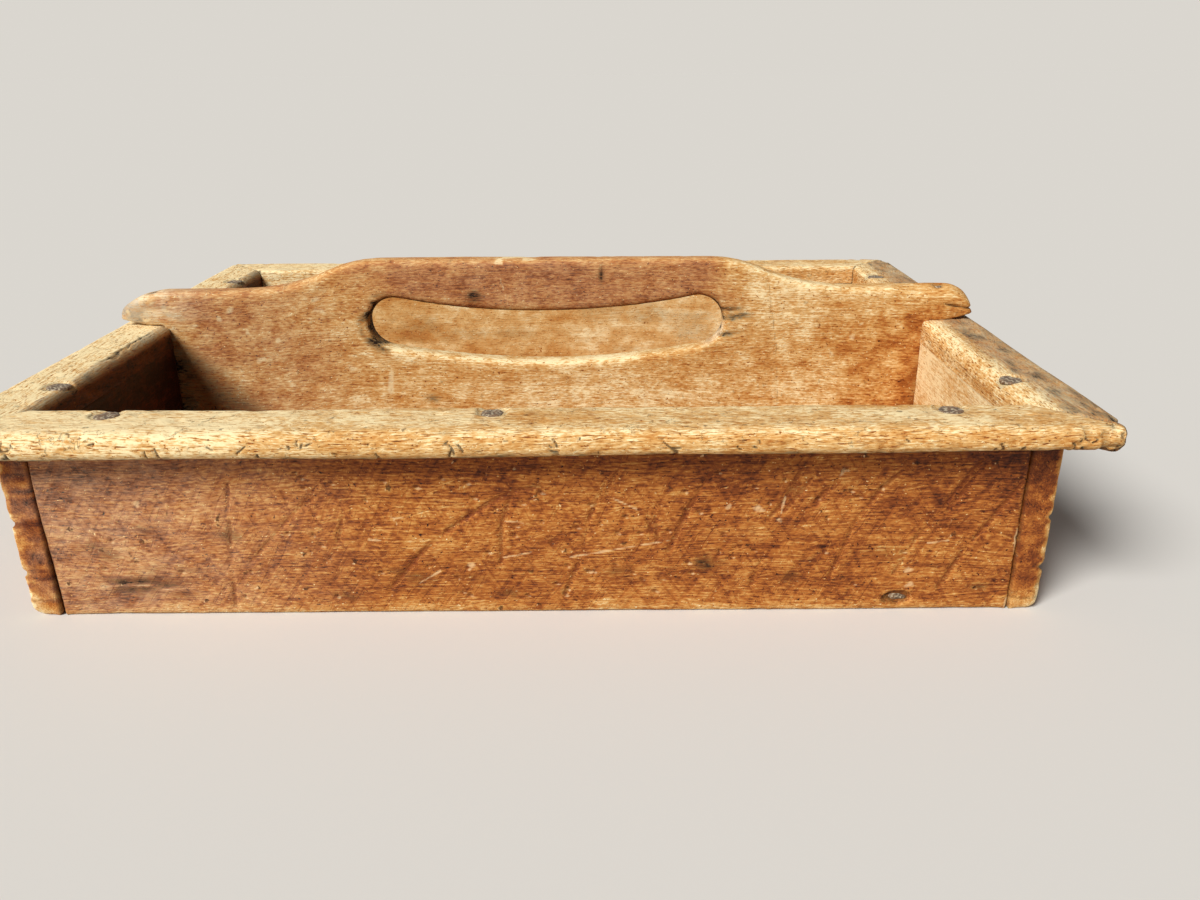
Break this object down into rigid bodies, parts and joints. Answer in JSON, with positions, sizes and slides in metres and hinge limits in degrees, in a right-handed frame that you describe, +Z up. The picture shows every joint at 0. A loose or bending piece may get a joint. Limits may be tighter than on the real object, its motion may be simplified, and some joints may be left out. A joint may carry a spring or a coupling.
{
  "type": "tool storage caddy",
  "caption": "Open wooden tool caddy: a shallow nailed board tray with a rounded mitred rim, divided by a raised handle board with a curved hand slot.",
  "frame": {"origin": "middle of the underside, on the surface the caddy stands on", "axes": "+X along the length and the handle, +Y from the front wall to the back wall, +Z up"},
  "size_m": [0.3848, 0.2888, 0.1016],
  "materials": {
    "wall_wood": "worn varnish",
    "rim_wood": "worn bare",
    "handle_wood": "worn varnish",
    "floor_wood": "worn bare",
    "nail_iron": "rusted"
  },
  "bodies": {
    "root": {"floor_board": "floor_wood", "front_wall": "wall_wood", "back_wall": "wall_wood", "left_end": "wall_wood", "right_end": "wall_wood", "handle_board": "handle_wood", "front_rim": "rim_wood", "back_rim": "rim_wood", "left_rim": "rim_wood", "right_rim": "rim_wood", "front_rim_nails": "nail_iron", "back_rim_nails": "nail_iron", "left_rim_nails": "nail_iron", "right_rim_nails": "nail_iron", "left_ear_nail": "nail_iron", "right_ear_nail": "nail_iron", "front_floor_nails": "nail_iron", "back_floor_nails": "nail_iron", "left_floor_nails": "nail_iron", "right_floor_nails": "nail_iron", "left_corner_nails": "nail_iron", "right_corner_nails": "nail_iron", "handle_board_nails": "nail_iron"}
  },
  "joints": []
}
